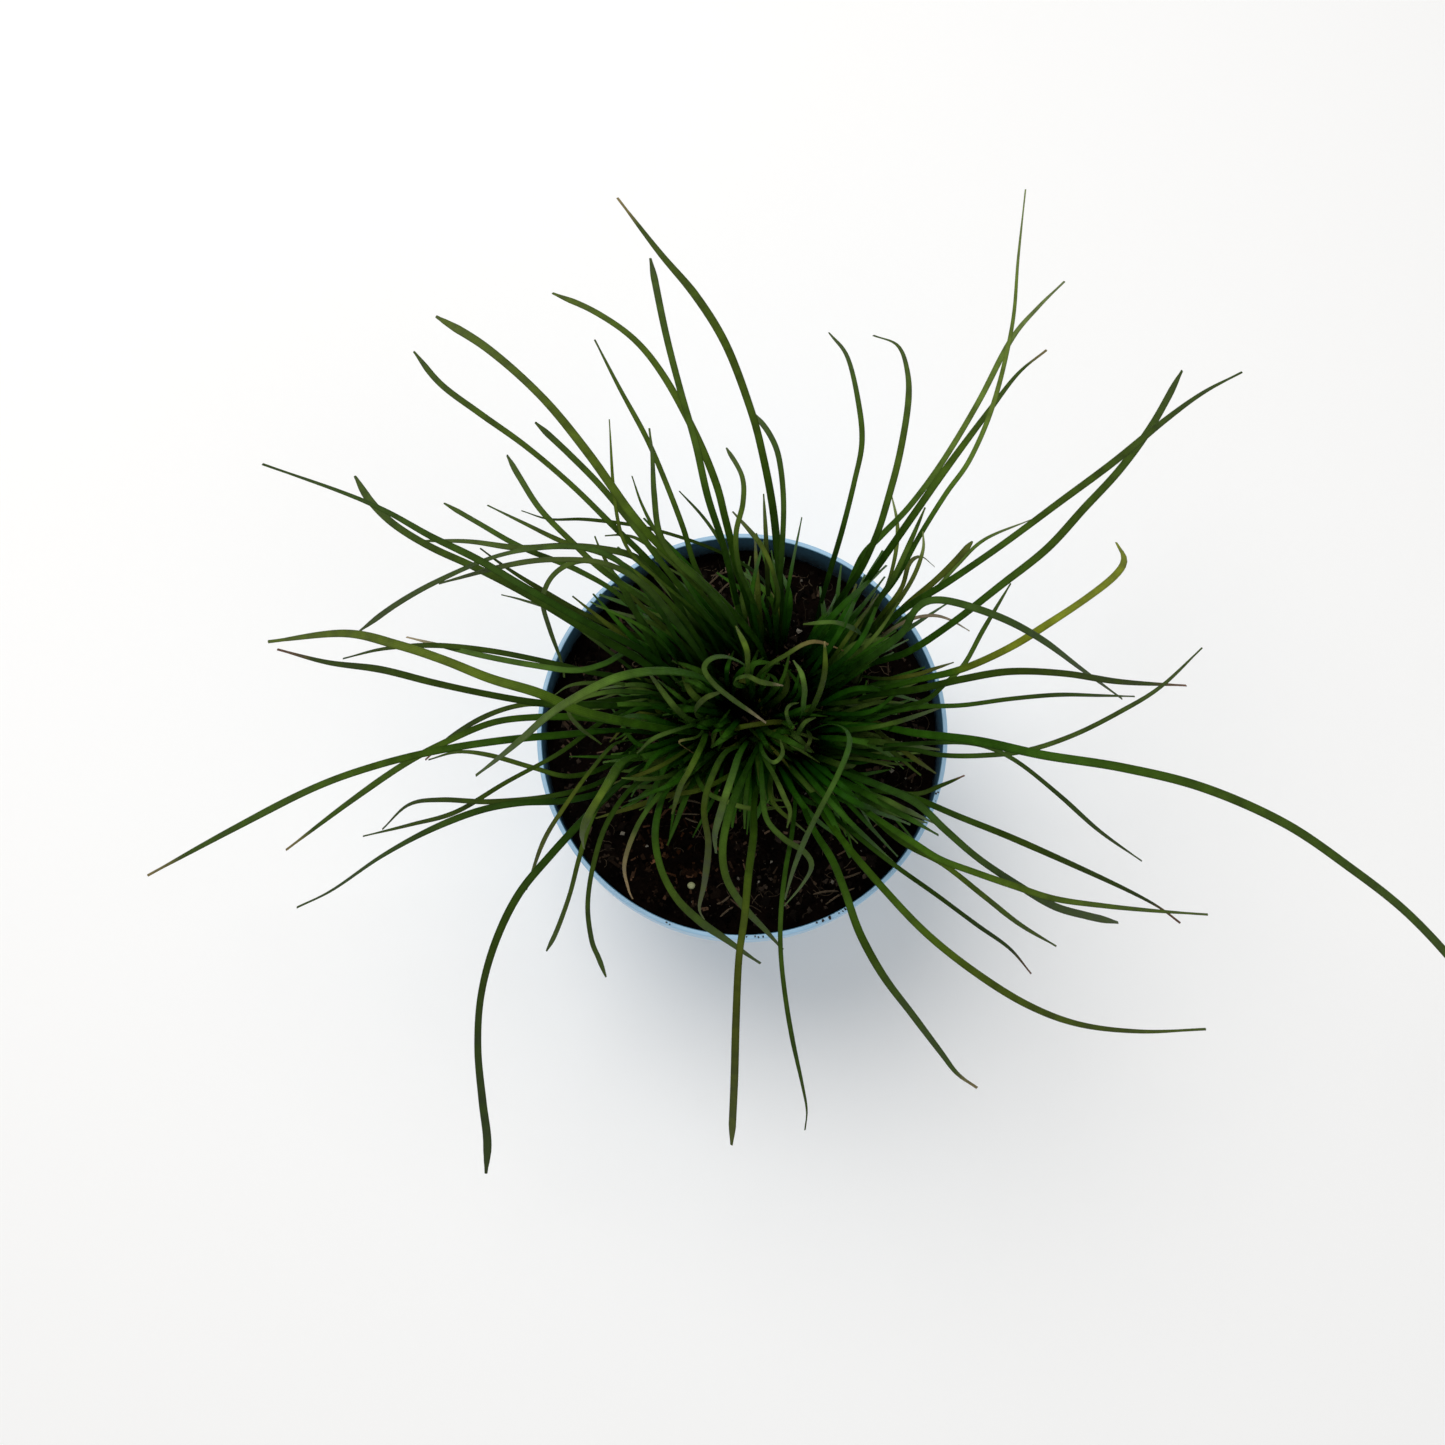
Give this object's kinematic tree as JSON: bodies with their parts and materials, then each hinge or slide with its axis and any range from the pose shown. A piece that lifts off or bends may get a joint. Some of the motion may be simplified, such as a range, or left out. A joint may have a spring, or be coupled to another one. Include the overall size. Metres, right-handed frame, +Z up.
{
  "type": "potted garlic chives",
  "caption": "Garlic chives growing in a round light-blue plastic pot: long narrow arching leaves over dark soil.",
  "frame": {"origin": "centre of the pot's underside, on the surface that the pot stands on", "axes": "+Z up along the pot's axis; +X to the right and +Y away, as the picture shows the plant from above"},
  "size_m": [0.4433, 0.2992, 0.2519],
  "materials": {
    "pot_plastic": "satin light-blue moulded plastic",
    "soil": "dark, rough potting mix of bark, fibre and peat",
    "leaf_green": "smooth, slightly waxy leaf",
    "leaf_dark_green": "smooth, slightly waxy leaf",
    "leaf_yellow_green": "smooth, slightly waxy leaf",
    "leaf_pale_green": "smooth, slightly waxy leaf",
    "leaf_grey_green": "smooth, slightly waxy leaf",
    "leaf_olive": "smooth, slightly waxy leaf",
    "leaf_green_tan_tip": "smooth, slightly waxy leaf",
    "leaf_light_green": "smooth, slightly waxy leaf",
    "leaf_yellow": "smooth, slightly waxy leaf",
    "leaf_tan_end": "smooth, slightly waxy leaf",
    "leaf_dark_brown_tip": "smooth, slightly waxy leaf",
    "leaf_dry": "smooth, slightly waxy leaf"
  },
  "bodies": {
    "root": {"pot": "pot_plastic", "soil": "soil", "leaf_01": "leaf_green", "leaf_02": "leaf_dark_green", "leaf_03": "leaf_grey_green", "leaf_04": "leaf_grey_green", "leaf_05": "leaf_green", "leaf_06": "leaf_green", "leaf_07": "leaf_pale_green", "leaf_08": "leaf_green", "leaf_09": "leaf_yellow_green", "leaf_10": "leaf_green", "leaf_11": "leaf_green", "leaf_12": "leaf_green_tan_tip", "leaf_13": "leaf_green", "leaf_14": "leaf_yellow_green", "leaf_15": "leaf_green", "leaf_16": "leaf_green", "leaf_17": "leaf_light_green", "leaf_18": "leaf_green_tan_tip", "leaf_19": "leaf_light_green", "leaf_20": "leaf_green", "leaf_21": "leaf_green", "leaf_22": "leaf_grey_green", "leaf_23": "leaf_yellow", "leaf_24": "leaf_dark_brown_tip", "leaf_25": "leaf_green", "leaf_26": "leaf_grey_green", "leaf_27": "leaf_green", "leaf_28": "leaf_grey_green", "leaf_29": "leaf_dark_brown_tip", "leaf_30": "leaf_grey_green", "leaf_31": "leaf_yellow_green", "leaf_32": "leaf_dark_brown_tip", "leaf_33": "leaf_yellow_green", "leaf_34": "leaf_green_tan_tip", "leaf_35": "leaf_green", "leaf_36": "leaf_olive", "leaf_37": "leaf_green", "leaf_38": "leaf_dark_green", "leaf_39": "leaf_dark_green", "leaf_40": "leaf_green_tan_tip", "leaf_41": "leaf_green_tan_tip", "leaf_42": "leaf_yellow_green", "leaf_43": "leaf_dark_brown_tip", "leaf_44": "leaf_pale_green", "tuft_01": "leaf_dark_green", "tuft_02": "leaf_green", "tuft_03": "leaf_green", "tuft_04": "leaf_green", "tuft_05": "leaf_dry", "tuft_06": "leaf_tan_end", "tuft_07": "leaf_green_tan_tip", "tuft_08": "leaf_green", "tuft_09": "leaf_yellow_green", "tuft_10": "leaf_dark_brown_tip", "tuft_11": "leaf_dark_green", "tuft_12": "leaf_green", "tuft_13": "leaf_yellow_green", "tuft_14": "leaf_pale_green"}
  },
  "joints": []
}
